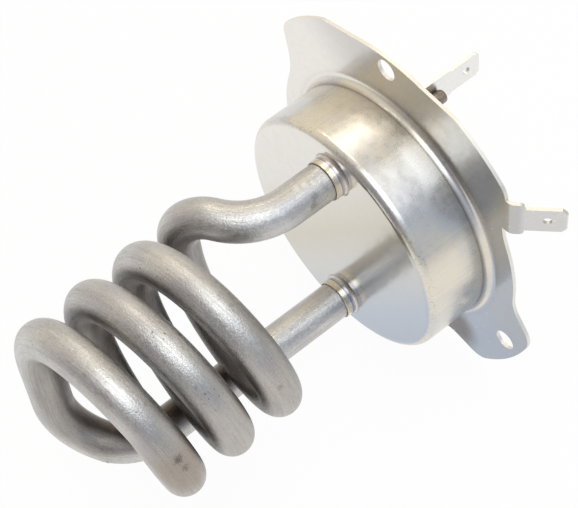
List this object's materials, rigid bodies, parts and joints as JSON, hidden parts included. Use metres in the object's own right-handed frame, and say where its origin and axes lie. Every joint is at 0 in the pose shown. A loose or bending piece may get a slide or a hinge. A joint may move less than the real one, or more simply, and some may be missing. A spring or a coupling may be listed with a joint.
{
  "type": "dishwasher heating element",
  "caption": "Coiled tubular immersion heater on a drawn flange cup with a lobed bolt flange and blade terminals.",
  "frame": {"origin": "centre of the bolt circle, on the flange's coil-side seating face", "axes": "-Y points out of the seating face along the tubes' leads towards the coil's nose, +Z runs through the upper tube hole, +X points to the earth lug's side"},
  "size_m": [0.081, 0.1127, 0.0769],
  "materials": {
    "drawn_stainless": "drawn and polished stainless sheet",
    "sheath_stainless": "annealed stainless tube, dulled by heat",
    "collar_stainless": "stainless, with a heat tint at the weld",
    "magnesia": "packed white powder",
    "bush_ceramic": "unglazed ceramic",
    "resistance_alloy": "dark drawn wire",
    "pin_steel": "steel with a brown heat tint",
    "plated_blade": "dull nickel plate"
  },
  "bodies": {
    "root": {"flange_cup": "drawn_stainless", "heater_sheath": "sheath_stainless", "magnesia_filling": "magnesia", "resistance_winding": "resistance_alloy", "cold_pin_upper": "pin_steel", "cold_pin_lower": "pin_steel", "end_bush_upper": "bush_ceramic", "end_bush_lower": "bush_ceramic", "weld_collar_upper": "collar_stainless", "weld_collar_lower": "collar_stainless", "blade_tab_upper": "plated_blade", "blade_tab_lower": "plated_blade"}
  },
  "joints": []
}
